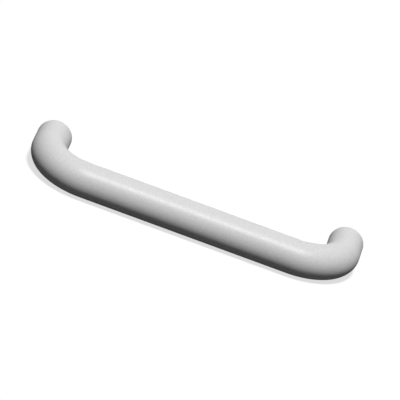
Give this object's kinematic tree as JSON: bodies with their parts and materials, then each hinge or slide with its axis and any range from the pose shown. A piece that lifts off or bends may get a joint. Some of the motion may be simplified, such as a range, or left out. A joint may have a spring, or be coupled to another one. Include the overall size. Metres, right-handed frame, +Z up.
{
  "type": "towel rail",
  "caption": "Bow-shaped tubular towel rail with plain ends that slide over hidden wall bosses, each held by a grub screw from below.",
  "frame": {"origin": "on the wall plane, midway between the middles of the two ends", "axes": "+X along the bar to the right as seen from the room, +Y into the wall, +Z up when mounted"},
  "size_m": [0.3346, 0.0892, 0.0344],
  "materials": {
    "rail": "satin moulded polyamide, light grey",
    "boss": "turned, bare",
    "screw": "stainless, plain"
  },
  "bodies": {
    "root": {"rail": "rail", "left_wall_boss": "boss", "right_wall_boss": "boss", "left_grub_screw": "screw", "right_grub_screw": "screw"}
  },
  "joints": []
}
